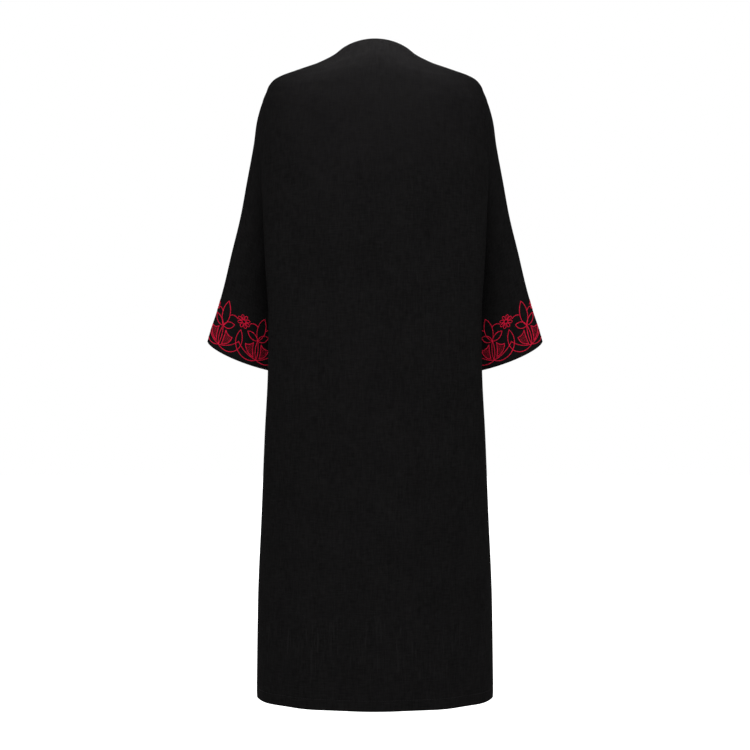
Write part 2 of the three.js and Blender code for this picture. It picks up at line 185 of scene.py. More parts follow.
SEAM_DIP = 0.0006  # how far cloth sinks towards a seam
SEAM_WIDTH = 0.0035
STITCH_DIP = 0.00035  # how far a line of stitching pulls the cloth in
STITCH_DIP_WIDTH = 0.0013
PUCKER_LENGTH = 0.0085  # between the small gathers that a hem's stitching leaves
PUCKER_DEPTH = 0.45  # share of the stitching's dip
PUCKER_SWELL = 0.031  # over which the gathers grow and fade
HEM_CURL = 0.0006  # how far the pressed hem curls in at its very edge
HEM_STITCH = 0.0185  # from the hem to its line of stitching
EDGE_TURN = 0.008  # turning along the neck and the two front edges
EDGE_STITCH = 0.0065
NARROW_STITCH = 0.4  # share of a front's width that its stitching keeps to where the front is narrow
TURN_STEP = 0.002  # over which the second layer of a turning ends
ROUNDING = 0.85  # how far a turned edge bulges, for half its wall
SEAM_COLUMNS = (0.0, 0.0007, 0.0015, 0.0025, 0.004)  # distances from a sewn edge
EDGE_COLUMNS = (0.0, 0.0012, 0.0024, 0.0036, 0.0048, 0.0058, 0.0066, 0.0074, 0.0084, 0.01)
MOST_AT_EDGE = 0.3  # share of a row that the columns near one edge may take up
BACK_COLUMNS = 140
FRONT_COLUMNS = 70
SLEEVE_COLUMNS_ROUND = 128
SLEEVE_ROWS = 128
ARMHOLE_ROWS = 48
NECK_ROWS = 30
SKIRT_ROWS = 165
NECK_CROWDING = 1.25  # 1 spaces the neck's rows evenly, more sets them closer at the top
HEM_ROWS_TOP = 0.004  # above the turned hem, where the rows become close
HEM_ROWS_STEP = 0.0007
HEM_ROWS_END = 0.014  # from the hem, where they widen again
EDGE_ROWS_TOP = 0.0135
EDGE_ROWS = 7
FINE_COLUMNS = 300  # points across a row, for measuring along it
PROBE_HEIGHT = 0.0005  # steps for the direction of a surface
PROBE_ANGLE = 0.004
HALVINGS = 36

# ---- Embroidery of one plant ----
# Places are along the cuff from the plant's axis and up from the cuff's edge. Stems, side leaves, boats and
# shields are mirrored about that axis. The tall leaf leans on every second plant, and the flower and the
# tendrils are on one side. The lines are parts of circles: a bow is how far one bends for its length, and a
# lean is the angle from upright, away from the axis.

FIRST_PLANT = 0.026  # from the cuff's outer fold to the first plant's axis
REPEAT = 0.078  # from one plant to the next, before it is fitted to the cuff
FOOT_HEIGHT = 0.012
STEM_LENGTH = 0.036
STEM_BOW = 0.08
TALL_LEAF_LENGTH = 0.046
TALL_LEAF_BOW = 0.2
TALL_LEAF_LEAN = math.radians(18)  # of every second plant, the others stand upright
SIDE_LEAF_LENGTH = 0.026
SIDE_LEAF_BOW = 0.22
SIDE_LEAF_LEAN = math.radians(64)
BOAT_KEEL_HEIGHT = 0.056  # where the keels of two neighbouring boats meet, halfway between their plants
BOAT_KEEL_BOW = 0.42
BOAT_RIM_HEIGHT = 0.034  # where their rims meet
BOAT_RIM_BOW = 0.08
SHIELD_ROOT = (0.006, 0.016)
SHIELD_LENGTH = 0.027
SHIELD_LEAN = math.radians(24)
SHIELD_SPREAD = math.radians(38)  # between the two shoulders, seen from the root
SHIELD_OUTER_BOW = 0.16
SHIELD_TOP_BOW = 0.14
SHIELD_INNER_BOW = 0.04
TENDRIL_BOW = 0.18
FLOWER_PLACE = 0.55  # share of the way to the next plant
FLOWER_HEIGHT = 0.073
PETALS = 8
PETAL_START = 0.0030
PETAL_END = 0.0120
PETAL_WIDTH = 0.0048
PETAL_WIDEST = 0.7  # share of the way from its start to its end
FLOWER_STRETCH = 1.22  # along the cuff
HATCH_STEP = 0.0017
HATCH_ANGLE = math.radians(62)
HATCH_INSET = 0.0011
FIRST_HATCH = 0.6  # share of a step from the outline
ROUTE_STEP = 0.0015  # between the points of an embroidery route
PETAL_STEP = 0.0008

# ---- Stitches: pitch, length, thread width, thread height, unevenness and seed ----

STITCH_COLUMNS = ("Pitch", "Stitch Length", "Thread Width", "Thread Height", "Unevenness", "Seed")
# The next two leave pitch and length to the settings, and the first one its seed to each piece.
SEWING_THREAD = (0.0006, 0.0005, 0.05)
SATIN_THREAD = (0.0014, 0.0010, 0.07, 21)
FILL_STITCHES = (0.0023, 0.0022, 0.0007, 0.0006, 0.05, 22)
PETAL_STITCHES = (0.0009, 0.0018, 0.0013, 0.0010, 0.07, 23)
BACK_SEED = 11
FRONT_SEED = 12

# ---- Looks and studio ----

SLUB_SEEDS = (3.1, 17.7)
# Seed and tones of the painted crease highlights above the hem.
STREAK_SEED = 8.4
STREAK_TONES = (0.63, 0.82)  # between which a streak shows more and more
FIBRES_TO_A_STRAND = 12.0
THREAD_GLOSS = {"red": 0.08, "black": 0.1}
CAMERA_DROP = 0.0087  # below the middle of the coat
FLOOR_SIDES, FLOOR_FAR, FLOOR_NEAR = 5.0, -9.0, 1.6
# Lamps: place, aim, width and height, and spread in degrees.
NECK_LIGHT = ((0.0, 0.1, 0.35), (0.0, 0.05, 0.0), (0.2, 0.1), 50.0)
FILL_LIGHT = ((0.0, 2.4, 1.8), (0.0, 0.0, -0.4), (2.2, 1.4), 180.0)

Panel = namedtuple("Panel", "outer inner normal uv is_tube rounded from_hem from_end from_top")


# ---- Smooth curves ----


def smooth_step(share):
    """0 to 1 with a level start and end."""
    s = np.clip(share, 0.0, 1.0)
    return s * s * (3.0 - 2.0 * s)


def curves_of(names, rows):
    """Each column of a table as heights, values and tangents of a curve that never overshoots its rows."""
    rising = np.array(rows, dtype=float)[::-1]
    heights = rising[:, 0]
    curves = {}
    for column, name in enumerate(names):
        values = rising[:, column]
        slopes = np.diff(values) / np.diff(heights)
        before, after = slopes[:-1], slopes[1:]
        total = np.where(before * after > 0.0, before + after, np.inf)
        middle = 2.0 * before * after / total
        curves[name] = (heights, values, np.concatenate((slopes[:1], middle, slopes[-1:])))
    return curves


def between(u, span, start, end, start_slope, end_slope):
    """The value a share u of the way over a span, on a smooth curve with these ends and slopes."""
    low = start * (1.0 + 2.0 * u) * (1.0 - u) ** 2 + start_slope * span * u * (1.0 - u) ** 2
    high = end * u**2 * (3.0 - 2.0 * u) + end_slope * span * u**2 * (u - 1.0)
    return low + high


def smooth_value(curve, height):
    """The curve's value at one height or many."""
    heights, values, tangents = curve
    height = np.clip(height, heights[0], heights[-1])
    i = np.clip(np.searchsorted(heights, height, side="right") - 1, 0, len(heights) - 2)
    span = heights[i + 1] - heights[i]
    u = (height - heights[i]) / span
    return between(u, span, values[i], values[i + 1], tangents[i], tangents[i + 1])


def through_rings(rings, rows):
    """A smooth loft through rings of points, with its rows evenly spaced along it."""
    steps = np.linalg.norm(np.diff(rings, axis=0), axis=2).mean(axis=1)
    along = np.concatenate(([0.0], np.cumsum(steps)))
    slopes = np.diff(rings, axis=0) / steps[:, None, None]
    share = (steps[:-1] / (steps[:-1] + steps[1:]))[:, None, None]
    middle = slopes[:-1] * (1.0 - share) + slopes[1:] * share
    tangents = np.concatenate((slopes[:1], middle, slopes[-1:]))
    places = np.linspace(0.0, along[-1], rows)
    i = np.clip(np.searchsorted(along, places, side="right") - 1, 0, len(along) - 2)
    span = steps[i][:, None, None]
    u = (places - along[i])[:, None, None] / span
    return between(u, span, rings[i], rings[i + 1], tangents[i], tangents[i + 1])


def drawn_curve(points, is_closed=False, step=ROUTE_STEP):
    """A smooth line through a few points, as points about a step apart."""
    spine = np.array(points, dtype=float)
    if is_closed:
        padded = np.concatenate((spine[-1:], spine, spine[:2]))
    else:
        padded = np.concatenate((2 * spine[:1] - spine[1:2], spine, 2 * spine[-1:] - spine[-2:-1]))
    line = []
    for before, start, end, after in zip(padded, padded[1:], padded[2:], padded[3:]):
        count = max(2, int(np.linalg.norm(end - start) / step) + 1)
        u = np.linspace(0.0, 1.0, count, endpoint=False)[:, None]
        square = (2 * before - 5 * start + 4 * end - after) * u**2
        cube = (3 * start - before - 3 * end + after) * u**3
        line.append(start + 0.5 * ((end - before) * u + (square + cube)))
    if not is_closed:
        line.append(spine[-1:])
    return np.concatenate(line)


def closed_round(grid):
    """A tube's grid with its first column again after its last."""
    return np.concatenate((grid, grid[:, :1]), axis=1)


def way_round(ring):
    """How far round a closed ring each of its points lies, and last the whole way."""
    steps = np.linalg.norm(np.roll(ring, -1, axis=0) - ring, axis=1)
    return np.concatenate(([0.0], np.cumsum(steps)))


# ---- The body's outside ----

BODY = curves_of(BODY_COLUMNS, BODY_SECTIONS)


def plain_body(z, angle):
    """The section without its folds: angle 0 is the centre back, half a turn the centre front."""
    z, angle = np.broadcast_arrays(z, angle)
    at = {name: smooth_value(curve, z) for name, curve in BODY.items()}
    sine, cosine = np.sin(angle), np.cos(angle)
    is_back = cosine >= 0.0
    square = np.where(is_back, at["back_square"], at["front_square"])
    depth = np.where(is_back, at["back"] - at["widest"], at["front"] + at["widest"])
    reach = (np.abs(sine) ** square + np.abs(cosine) ** square) ** (-1.0 / square)
    lift = at["lift"] * np.maximum(cosine, 0.0) ** LIFT_SHARPNESS
    fall = at["fall"] * (2.0 * sine * cosine) ** 2
    x = at["half_width"] * sine * reach
    y = at["widest"] + depth * cosine * reach
    return np.stack((x, y, z + lift - fall), axis=-1)


def fold_rise(z, angle):
    """How far the folds and creases stand out of the plain section."""
    degrees = np.abs(np.degrees(angle))
    rise = np.zeros(np.broadcast(z, angle).shape)
    folds = [(*fold[:4], *FOLD_END, fold[4], 0) for fold in FOLDS]
    for place, spread, start, full, fade, gone, height, lean in (*folds, *CREASES):
        along = np.clip((z - start) / (gone - start), 0.0, 1.0)
        away = np.clip(np.abs(degrees - place - lean * along) / spread, 0.0, 1.0)
        grown = smooth_step((z - start) / (full - start)) * (1.0 - smooth_step((z - fade) / (gone - fade)))
        rise += height * grown * np.cos(away * math.pi / 2) ** 2
    return rise


def unit(vectors):
    return vectors / np.maximum(np.linalg.norm(vectors, axis=-1, keepdims=True), 1e-12)


def body_surface(z, angle):
    """The coat's outside with its folds."""
    down = plain_body(z - PROBE_HEIGHT, angle) - plain_body(z + PROBE_HEIGHT, angle)
    across = plain_body(z, angle + PROBE_ANGLE) - plain_body(z, angle - PROBE_ANGLE)
    normal = unit(np.cross(across, down))
    return plain_body(z, angle) + normal * fold_rise(z, angle)[..., None]


def angle_where(axis, z, value, start, end):
    """The angle where the plain section's x or y falls to a value, by halving."""
    low = np.full(np.shape(z), start)
    high = np.full(np.shape(z), end)
    for _ in range(HALVINGS):
        middle = (low + high) / 2
        is_short = plain_body(z, middle)[..., axis] > value
        low = np.where(is_short, middle, low)
        high = np.where(is_short, high, middle)
    return (low + high) / 2


def front_edge_x(z):
    """Half the width between the two front edges: the neckline's V, then a gap that opens to the hem."""
    vee = np.maximum(0.0, 1.0 + z / NECK_DEPTH)
    below = np.clip((-NECK_DEPTH - z) / (-NECK_DEPTH - HEM_Z), 0.0, 1.0)
    gap = FRONT_GAP_TOP + (FRONT_GAP_HEM - FRONT_GAP_TOP) * below
    return gap / 2 + (NECK_START - FRONT_GAP_TOP / 2) * vee**NECK_CURVE


# ---- Panels of the body ----


def body_heights(hem_turn):
    """Heights of a body panel's rows, and how far the armhole is open towards the back or front on each."""
    top = ARMHOLE_Z + ARMHOLE_HALF_HEIGHT
    bottom = ARMHOLE_Z - ARMHOLE_HALF_HEIGHT
    neck = top * np.linspace(0.0, 1.0, NECK_ROWS, endpoint=False) ** NECK_CROWDING
    turn = np.linspace(0.0, math.pi, ARMHOLE_ROWS)
    armhole = ARMHOLE_Z + ARMHOLE_HALF_HEIGHT * np.cos(turn)
    line_top = HEM_Z + hem_turn + HEM_ROWS_TOP
    skirt = np.linspace(bottom, line_top, SKIRT_ROWS)[1:]
    stitched = np.arange(line_top - HEM_ROWS_STEP, HEM_Z + HEM_ROWS_END, -HEM_ROWS_STEP)
    edge = np.linspace(HEM_Z + EDGE_ROWS_TOP, HEM_Z, EDGE_ROWS)
    z = np.concatenate((neck, armhole, skirt, stitched, edge))
    open_depth = np.zeros(len(z))
    open_depth[len(neck) : len(neck) + len(armhole)] = ARMHOLE_HALF_DEPTH * np.sin(turn)
    return z, open_depth


def row_distances(width, from_start, from_end, columns):
    """Places across one row, close together near its two edges."""
    first = np.array(from_start) * min(1.0, MOST_AT_EDGE * width / from_start[-1])
    last = width - np.array(from_end)[::-1] * min(1.0, MOST_AT_EDGE * width / from_end[-1])
    middle = np.linspace(first[-1], last[0], columns)[1:-1]
    return np.concatenate((first, middle, last))


def panel_grid(z, start, end, from_start, from_end, columns):
    """Points of a body panel row by row, with each point's distance along its row."""
    share = np.linspace(0.0, 1.0, FINE_COLUMNS)
    fine_angles = start[:, None] + (end - start)[:, None] * share
    fine = plain_body(z[:, None], fine_angles)
    steps = np.linalg.norm(np.diff(fine, axis=1), axis=2)
    along = np.concatenate((np.zeros((len(z), 1)), np.cumsum(steps, axis=1)), axis=1)
    places = np.array([row_distances(row[-1], from_start, from_end, columns) for row in along])
    angles = np.array([np.interp(p, a, f) for p, a, f in zip(places, along, fine_angles)])
    return body_surface(z[:, None], angles), places


def grid_normals(grid, is_tube):
    """Outward normals of a grid of points, its rows running down and its columns round."""
    if is_tube:
        wrapped = np.concatenate((grid[:, -1:], grid, grid[:, :1]), axis=1)
        across = wrapped[:, 2:] - wrapped[:, :-2]
    else:
        across = np.gradient(grid, axis=1)
    down = np.gradient(grid, axis=0)
    return unit(np.cross(across, down))


def distance_down(grid):
    """Distance of each point from the first row, along its column."""
    steps = np.linalg.norm(np.diff(grid, axis=0), axis=2)
    return np.concatenate((np.zeros((1, grid.shape[1])), np.cumsum(steps, axis=0)))


def stitched_dip(distance, line, along):
    """How far a line of stitching pulls the cloth in, with its small gathers."""
    swell = PUCKER_DEPTH * np.sin(along * 2 * math.pi / PUCKER_LENGTH)
    gathers = 1.0 + swell * np.sin(along * 2 * math.pi / PUCKER_SWELL)
    return -STITCH_DIP * gathers * np.exp(-(((distance - line) / STITCH_DIP_WIDTH) ** 2))


def body_panel(sewing, start, end, z, is_back):
    """A body panel between two angles on each row, as an outer and an inner skin."""
    from_end_columns = SEAM_COLUMNS if is_back else EDGE_COLUMNS
    columns = BACK_COLUMNS if is_back else FRONT_COLUMNS
    grid, places = panel_grid(z, start, end, SEAM_COLUMNS, from_end_columns, columns)
    normal = grid_normals(grid, False)
    if (normal[..., 0] * grid[..., 0] + normal[..., 1] * grid[..., 1]).sum() < 0.0:
        normal = -normal
    from_top = distance_down(grid)
    from_hem = from_top[-1:] - from_top
    from_end = places[:, -1:] - places
    rise = -SEAM_DIP * (1.0 - smooth_step(places / SEAM_WIDTH))
    rise += stitched_dip(from_hem, HEM_STITCH, places)
    rise -= HEM_CURL * np.clip(1.0 - from_hem / sewing.hem_turn, 0.0, 1.0) ** 2
    turned = 1.0 - smooth_step((from_hem - sewing.hem_turn) / TURN_STEP)
    if is_back:
        rise -= SEAM_DIP * (1.0 - smooth_step(from_end / SEAM_WIDTH))
        rise += stitched_dip(from_top, EDGE_STITCH, places)
        turned = np.maximum(turned, 1.0 - smooth_step((from_top - EDGE_TURN) / TURN_STEP))
        across = places - places[:, -1:] / 2
    else:
        rise += stitched_dip(from_end, np.minimum(EDGE_STITCH, places[:, -1:] * NARROW_STITCH), from_top)
        turned = np.maximum(turned, 1.0 - smooth_step((from_end - EDGE_TURN) / TURN_STEP))
        across = from_end
    outer = grid + normal * rise[..., None]
    inner = outer - normal * (sewing.cloth_thickness * (1.0 + turned))[..., None]
    rounded = {"top": True, "bottom": True, "start": False, "end": not is_back}
    uv = np.stack((across, from_hem), axis=-1)
    return Panel(outer, inner, normal, uv, False, rounded, from_hem, from_end, from_top)


def back_panel(sewing):
    z, open_depth = body_heights(sewing.hem_turn)
    side = angle_where(1, z, open_depth, 0.0, math.pi)
    lap = SEAM_LAP / 2 / smooth_value(BODY["half_width"], z)
    return body_panel(sewing, -side - lap, side + lap, z, True)


def front_panel(sewing, sign):
    z, open_depth = body_heights(sewing.hem_turn)
    side = angle_where(1, z, -open_depth, 0.0, math.pi)
    edge = angle_where(0, z, front_edge_x(z), math.pi / 2, math.pi)
    lap = SEAM_LAP / 2 / smooth_value(BODY["half_width"], z)
    return body_panel(sewing, sign * (side - lap), sign * edge, z, False)


# ---- Sleeves ----


def armhole_ring(turn):
    """The armhole's own edge on the body, a little wider so that the sleeve laps it."""
    z = ARMHOLE_Z + (ARMHOLE_HALF_HEIGHT + SEAM_LAP) * np.cos(turn)
    y = (ARMHOLE_HALF_DEPTH + SEAM_LAP) * np.sin(turn)
    return plain_body(z, angle_where(1, z, y, 0.0, math.pi))


def sleeve_ring(section, turn):
    """One ring of the left sleeve: turn 0 is its outer edge, a quarter turn its back."""
    s = dict(zip(SLEEVE_COLUMNS, section))
    outer, inner = np.array(s["outer"]), np.array(s["inner"])
    lean = math.radians(s["turn"])
    towards_back = np.array((-math.sin(lean), math.cos(lean), 0.0))
    sine = np.sin(turn)
    depth = np.where(sine >= 0.0, s["back"], s["front"])
    sag = np.where(sine >= 0.0, s["sag_back"], s["sag_front"]) * np.abs(sine) ** SAG_SHARPNESS
    out = np.sign(sine) * np.abs(sine) ** s["edge"] * depth
    ring = (outer + inner) / 2 + (outer - inner) / 2 * np.cos(turn)[:, None] + towards_back * out[:, None]
    ring[:, 2] -= sag
    return ring


def sleeve_panel(sewing, sign):
    """A sleeve from its armhole to its cuff, as an outer and an inner skin."""
    turn = np.linspace(0.0, 2 * math.pi, SLEEVE_COLUMNS_ROUND, endpoint=False)
    rings = np.stack([armhole_ring(turn)] + [sleeve_ring(section, turn) for section in SLEEVE_SECTIONS])
    grid = through_rings(rings, SLEEVE_ROWS)
    normal = grid_normals(grid, True)
    centre = grid.mean(axis=1, keepdims=True)
    if (normal * (grid - centre)).sum() < 0.0:
        normal = -normal
    from_top = distance_down(grid)
    from_cuff = from_top[-1:] - from_top
    share = from_top / from_top[-1:]
    degrees = np.degrees(turn)
    rise = -SEAM_DIP * (1.0 - smooth_step(from_top / SEAM_WIDTH))
    for place, spread, start, end, height, lean in SLEEVE_CREASES:
        along = np.clip((share - start) / (end - start), 0.0, 1.0)
        away = np.clip(np.abs(degrees - place - lean * (along - 0.5)) / spread, 0.0, 1.0)
        rise += height * np.sin(along * math.pi) ** 2 * np.cos(away * math.pi / 2) ** 2
    underarm = np.radians(np.abs(degrees - 180.0)) * UNDERARM_RADIUS
    rise -= 0.5 * SEAM_DIP * (1.0 - smooth_step(underarm / SEAM_WIDTH))
    outer = grid + normal * rise[..., None]
    side = plain_body(outer[..., 2], angle_where(1, outer[..., 2], outer[..., 1], 0.0, math.pi))
    clearance = SLEEVE_CLEARANCE * smooth_step(from_top / CLEARANCE_START)
    outer[..., 0] = np.maximum(outer[..., 0], side[..., 0] + clearance)
    turned = 1.0 - smooth_step((from_cuff - sewing.hem_turn) / TURN_STEP)
    inner = outer - normal * (sewing.cloth_thickness * (1.0 + turned))[..., None]
    uv = np.stack(np.broadcast_arrays(way_round(grid[-1])[:-1], from_cuff + SLEEVE_CLOTH), axis=-1)
    rounded = {"top": False, "bottom": True, "start": False, "end": False}
    outer, inner, normal = (vectors * (sign, 1.0, 1.0) for vectors in (outer, inner, normal))
    return Panel(outer, inner, normal, uv, True, rounded, from_cuff, None, from_top)


# ---- Meshes ----


def quads(index, uv, faces, corners):
    """Adds a grid's squares, and each corner's place on the cloth."""
    square = (index[:-1, :-1], index[1:, :-1], index[1:, 1:], index[:-1, 1:])
    faces.extend(np.stack(square, axis=-1).reshape(-1, 4).tolist())
    place = (uv[:-1, :-1], uv[1:, :-1], uv[1:, 1:], uv[:-1, 1:])
    corners.append(np.stack(place, axis=2).reshape(-1, 2))


def rim(outer, inner, beside_outer, is_rounded):
    """Points along the middle of a wall's edge, bulging out a little where the edge is a turned one."""
    middle = (outer + inner) / 2
    if not is_rounded:
        return middle
    half = np.linalg.norm(outer - inner, axis=-1, keepdims=True) / 2
    return middle + unit(outer - beside_outer) * half * ROUNDING


def shell_mesh(name, panel):
    """A closed mesh of a panel's two skins and its edges, with a UV map in metres of cloth."""
    outer, inner = panel.outer, panel.inner
    rows, columns = outer.shape[:2]
    layer = np.arange(rows * columns).reshape(rows, columns)
    points = [outer.reshape(-1, 3), inner.reshape(-1, 3)]
    total = 2 * rows * columns

    def add(edge_points):
        nonlocal total
        points.append(edge_points)
        total += len(edge_points)
        return np.arange(total - len(edge_points), total)

    top = add(rim(outer[0], inner[0], outer[1], panel.rounded["top"]))
    bottom = add(rim(outer[-1], inner[-1], outer[-2], panel.rounded["bottom"]))
    skin, lining, uv = layer, layer + rows * columns, panel.uv
    if panel.is_tube:
        around = uv[:, :1] + np.array((uv[-1, -1, 0] + uv[-1, 1, 0], 0.0))
        uv = np.concatenate((uv, around), axis=1)
        skin, lining = closed_round(skin), closed_round(lining)
        top, bottom = (np.concatenate((g, g[:1])) for g in (top, bottom))
    faces, corners = [], []
    quads(skin, uv, faces, corners)
    quads(lining.T, uv.transpose(1, 0, 2), faces, corners)
    sides = [((lining[0], top, skin[0]), uv[0], 0), ((skin[-1], bottom, lining[-1]), uv[-1], 0)]
    if not panel.is_tube:
        start = add(rim(outer[:, 0], inner[:, 0], outer[:, 1], panel.rounded["start"]))
        end = add(rim(outer[:, -1], inner[:, -1], outer[:, -2], panel.rounded["end"]))
        sides.append(((lining[:, 0], start, skin[:, 0]), uv[:, 0], 1))
        sides.append(((skin[:, -1], end, lining[:, -1]), uv[:, -1], 1))
    for side, place, axis in sides:
        quads(np.stack(side, axis=axis), np.stack((place,) * 3, axis=axis), faces, corners)
    if not panel.is_tube:
        for row, edge in ((0, top), (-1, bottom)):
            for column, side in ((0, start), (-1, end)):
                pair = (edge[column], side[row]) if row == column else (side[row], edge[column])
                for grid, (first, last) in ((skin, pair), (lining, pair[::-1])):
                    faces.append([int(grid[row, column]), int(first), int(last)])
                    corners.append(np.stack((uv[row, column],) * 3))
    return closed_mesh(name, np.concatenate(points), faces, np.concatenate(corners))


def closed_mesh(name, points, faces, corners):
    """A smooth mesh that faces outwards, from its points, faces and the corners' places on the cloth."""
    triangle = np.array([face[:3] for face in faces])
    a, b, c = (points[triangle[:, i]] for i in range(3))
    other = np.array([(face[0], face[2], face[-1]) for face in faces])
    d, e, f = (points[other[:, i]] for i in range(3))
    volume = np.einsum("ij,ij->", a, np.cross(b, c)) + np.einsum("ij,ij->", d, np.cross(e, f))
    mesh = bpy.data.meshes.new(name)
    mesh.from_pydata(points.tolist(), [], faces)
    mesh.uv_layers.new(name="cloth").data.foreach_set("uv", corners.astype(np.float32).ravel())
    if volume < 0.0:
        mesh.flip_normals()
    mesh.shade_smooth()
    mesh.update()
    return mesh


def new_object(name, mesh):
    piece = bpy.data.objects.new(name, mesh)
    bpy.context.scene.collection.objects.link(piece)
    return piece


def cloth_piece(name, panel):
    piece = new_object(name, shell_mesh(name, panel))
    piece.data.materials.append(bpy.data.materials["slubbed black cloth"])
    return piece


# ---- Stitch routes ----


def line_on_panel(panel, distances, place, by_column):
    """Points and normals where each column or row of a panel is at a distance from its edge."""
    outer, normal = panel.outer, panel.normal
    if not by_column:
        outer, normal, distances = outer.transpose(1, 0, 2), normal.transpose(1, 0, 2), distances.T
    points, normals = [], []
    for i in range(outer.shape[1]):
        order = np.argsort(distances[:, i])
        known = distances[order, i]
        points.append([np.interp(place, known, outer[order, i, axis]) for axis in range(3)])
        normals.append([np.interp(place, known, normal[order, i, axis]) for axis in range(3)])
    return np.array(points), np.array(normals)


def route_object(name, routes):
    """Lines for stitches to follow, as a mesh of edges that keeps the cloth's normal at each point."""
    points, normals, edges = [], [], []
    for line, line_normals, is_closed in routes:
        first = sum(len(p) for p in points)
        points.append(line)
        normals.append(line_normals)
        edges += [(first + i, first + i + 1) for i in range(len(line) - 1)]
        if is_closed:
            edges.append((first + len(line) - 1, first))
    mesh = bpy.data.meshes.new(name)
    mesh.from_pydata(np.concatenate(points).tolist(), edges, [])
    kept = mesh.attributes.new("cloth_normal", "FLOAT_VECTOR", "POINT")
    kept.data.foreach_set("vector", unit(np.concatenate(normals)).astype(np.float32).ravel())
    return new_object(name, mesh)


# ---- Node trees ----


def named_socket(sockets, name):
    if isinstance(name, int):
        return sockets[name]
    return next(s for s in sockets if s.name == name and s.enabled)


def add_node(tree, kind, inputs=None, **settings):
    """A node with its settings, and each input given as a value or as another node's output."""
    node = tree.nodes.new(kind)
    node.location = (180 * len(tree.nodes), -60 * (len(tree.nodes) % 5))
    for name, value in settings.items():
        setattr(node, name, value)
    for name, value in (inputs or {}).items():
        target = named_socket(node.inputs, name)
        if isinstance(value, bpy.types.NodeSocket):
            tree.links.new(value, target)
        else:
            target.default_value = value
    return node


def out(node, name=0):
    return named_socket(node.outputs, name)


def maths(tree, operation, first, second):
    return out(add_node(tree, "ShaderNodeMath", {0: first, 1: second}, operation=operation))


def weighed(tree, first, weight, second):
    """Two tones as one, the first with this share of the weight."""
    parts = (maths(tree, "MULTIPLY", first, weight), maths(tree, "MULTIPLY", second, 1.0 - weight))
    return maths(tree, "ADD", *parts)


def noise(tree, place, scale, detail, roughness):
    values = {"Vector": place, "Scale": scale, "Detail": detail, "Roughness": roughness}
    return out(add_node(tree, "ShaderNodeTexNoise", values))


def stretched(tree, along, length, beside, width, seed):
    """A place for a noise that is long one way and narrow the other."""
    x, y = maths(tree, "DIVIDE", along, length), maths(tree, "DIVIDE", beside, width)
    return out(add_node(tree, "ShaderNodeCombineXYZ", {"X": x, "Y": y, "Z": seed}))


def place_group(tree, name, inputs):
    return add_node(tree, "ShaderNodeGroup", inputs, node_tree=bpy.data.node_groups[name])


def new_group(name, kind, inputs, outputs):
    """A node group: an input is given by its default number or by its socket type, an output by its type."""
    tree = bpy.data.node_groups.new(name, kind)
    for label, given in inputs.items():
        socket_type = {float: "NodeSocketFloat", int: "NodeSocketInt", str: given}[type(given)]
        socket = tree.interface.new_socket(name=label, in_out="INPUT", socket_type=socket_type)
        if not isinstance(given, str):
            socket.default_value = given
    for label, socket_type in outputs.items():
        tree.interface.new_socket(name=label, in_out="OUTPUT", socket_type=socket_type)
    return tree, add_node(tree, "NodeGroupInput")


TONE_AND_HEIGHT = {"Tone": "NodeSocketFloat", "Height": "NodeSocketFloat"}


def stitches_along_routes():
    """Geometry Nodes: one small stitch after another along every route, lying on the cloth."""
    inputs = {
        "Routes": "NodeSocketGeometry",
        "Pitch": 0.0012,
        "Stitch Length": 0.003,
        "Thread Width": 0.0012,
        "Thread Height": 0.0008,
        "Slant": 0.0,
        "Unevenness": 0.05,
        "Seed": 1,
        "Thread": "NodeSocketMaterial",
    }
    outputs = {"Stitches": "NodeSocketGeometry"}
    tree, given = new_group("Stitches along routes", "GeometryNodeTree", inputs, outputs)
    uneven, seed = out(given, "Unevenness"), out(given, "Seed")

    def chance(least, most):
        values = {"Min": least, "Max": most, "Seed": seed}
        return out(add_node(tree, "FunctionNodeRandomValue", values, data_type="FLOAT"), "Value")

    curve = add_node(tree, "GeometryNodeMeshToCurve", {"Mesh": out(given, "Routes")})
    spaced = {"Curve": out(curve), "Length": out(given, "Pitch")}
    evenly = add_node(tree, "GeometryNodeResampleCurve", spaced, mode="LENGTH")
    normal = add_node(
        tree, "GeometryNodeInputNamedAttribute", {"Name": "cloth_normal"}, data_type="FLOAT_VECTOR"
    )
    align = "FunctionNodeAlignRotationToVector"
    upright = add_node(tree, align, {"Vector": out(normal, "Attribute")}, axis="Z")
    tangent = out(add_node(tree, "GeometryNodeInputTangent"))
    along = add_node(tree, align, {"Rotation": out(upright), "Vector": tangent}, axis="X", pivot_axis="Z")
    sway = chance(maths(tree, "MULTIPLY", uneven, -1.0), uneven)
    slant = maths(tree, "ADD", out(given, "Slant"), sway)
    turned = add_node(tree, "FunctionNodeAxisAngleToRotation", {"Axis": (0.0, 0.0, 1.0), "Angle": slant})
    turn = {"Rotation": out(along), "Rotate By": out(turned)}
    lying = add_node(tree, "FunctionNodeRotateRotation", turn, rotation_space="LOCAL")
    shape = add_node(tree, "GeometryNodeMeshIcoSphere", {"Radius": 0.5, "Subdivisions": 1})
    smooth = add_node(tree, "GeometryNodeSetShadeSmooth", {"Geometry": out(shape, "Mesh")})
    sizes = {"X": "Stitch Length", "Y": "Thread Width", "Z": "Thread Height"}
    size = add_node(tree, "ShaderNodeCombineXYZ", {axis: out(given, name) for axis, name in sizes.items()})
    growth = chance(maths(tree, "SUBTRACT", 1.0, uneven), maths(tree, "ADD", 1.0, uneven))
    scale = add_node(tree, "ShaderNodeVectorMath", {0: out(size), "Scale": growth}, operation="SCALE")
    placed = {"Points": out(evenly), "Instance": out(smooth), "Rotation": out(lying), "Scale": out(scale)}
    stitches = add_node(tree, "GeometryNodeInstanceOnPoints", placed)
    real = add_node(tree, "GeometryNodeRealizeInstances", {"Geometry": out(stitches)})
    finish = {"Geometry": out(real), "Material": out(given, "Thread")}
    threaded = add_node(tree, "GeometryNodeSetMaterial", finish)
    add_node(tree, "NodeGroupOutput", {"Stitches": out(threaded)})
    return tree


